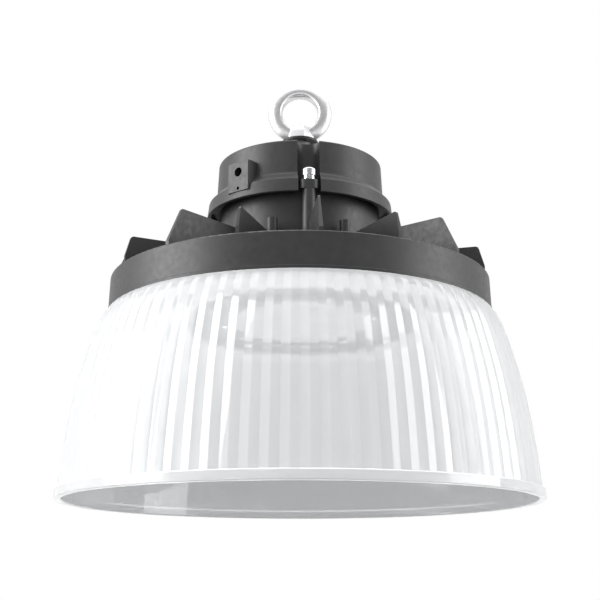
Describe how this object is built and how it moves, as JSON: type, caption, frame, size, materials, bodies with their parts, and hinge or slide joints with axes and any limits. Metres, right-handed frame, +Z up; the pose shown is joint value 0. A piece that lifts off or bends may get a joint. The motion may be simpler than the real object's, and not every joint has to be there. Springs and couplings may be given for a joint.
{
  "type": "high bay light",
  "caption": "Round LED high bay light: a clear fluted bell shade under a black cast heat sink with fins, a driver housing on top and a steel lifting eye.",
  "frame": {"origin": "Bottom centre of the whole light: the centre of the shade's rim, on the plane it can rest on.", "axes": "+Z is up, from the rim to the lifting eye. -Y is the front, with one housing screw near it. +Y is the back, with the cable gland. +X completes the right-handed frame."},
  "size_m": [0.38, 0.3798, 0.356],
  "materials": {
    "black_casting": "satin black powder coat on die-cast aluminium",
    "clear_shade": "clear fluted polycarbonate, glossy",
    "white_ring": "white painted steel",
    "steel": "bright zinc plate",
    "steel_eye": "bright zinc plate",
    "rubber": "dark silicone",
    "grey_pad": "soft grey pad",
    "white_board": "white solder mask",
    "yellow_chip": "yellow phosphor",
    "red_lead": "insulated lead",
    "diffuser": "opal plate",
    "green_board": "green solder mask",
    "brass": "turned brass",
    "dark_core": "dark ferrite",
    "black_can": "sleeved can",
    "green_block": "moulded block",
    "black_plastic": "moulded nylon"
  },
  "bodies": {
    "root": {"heat_sink": "black_casting", "driver_housing": "black_casting", "shade": "clear_shade", "shade_ring": "white_ring", "shade_screws": "steel", "housing_screws": "steel", "housing_spring_washers": "steel", "housing_flat_washers": "steel", "housing_gasket": "rubber", "eyebolt": "steel_eye", "eye_seal": "rubber", "eye_nut": "steel", "eye_washer": "steel", "eye_lock_nut": "steel", "thermal_pad": "grey_pad", "led_board": "white_board", "led_board_screws": "steel", "led_chips": "yellow_chip", "led_leads": "red_lead", "lens_cover": "diffuser", "lens_gasket": "rubber", "lens_ring": "black_casting", "lens_ring_screws": "steel", "driver_board": "green_board", "board_standoffs": "brass", "board_screws": "steel", "driver_transformer": "dark_core", "driver_choke": "dark_core", "driver_capacitors": "black_can", "driver_terminal": "green_block", "gland_body": "black_plastic", "gland_cap": "black_plastic", "gland_seal": "rubber", "gland_nut": "black_plastic"}
  },
  "joints": []
}
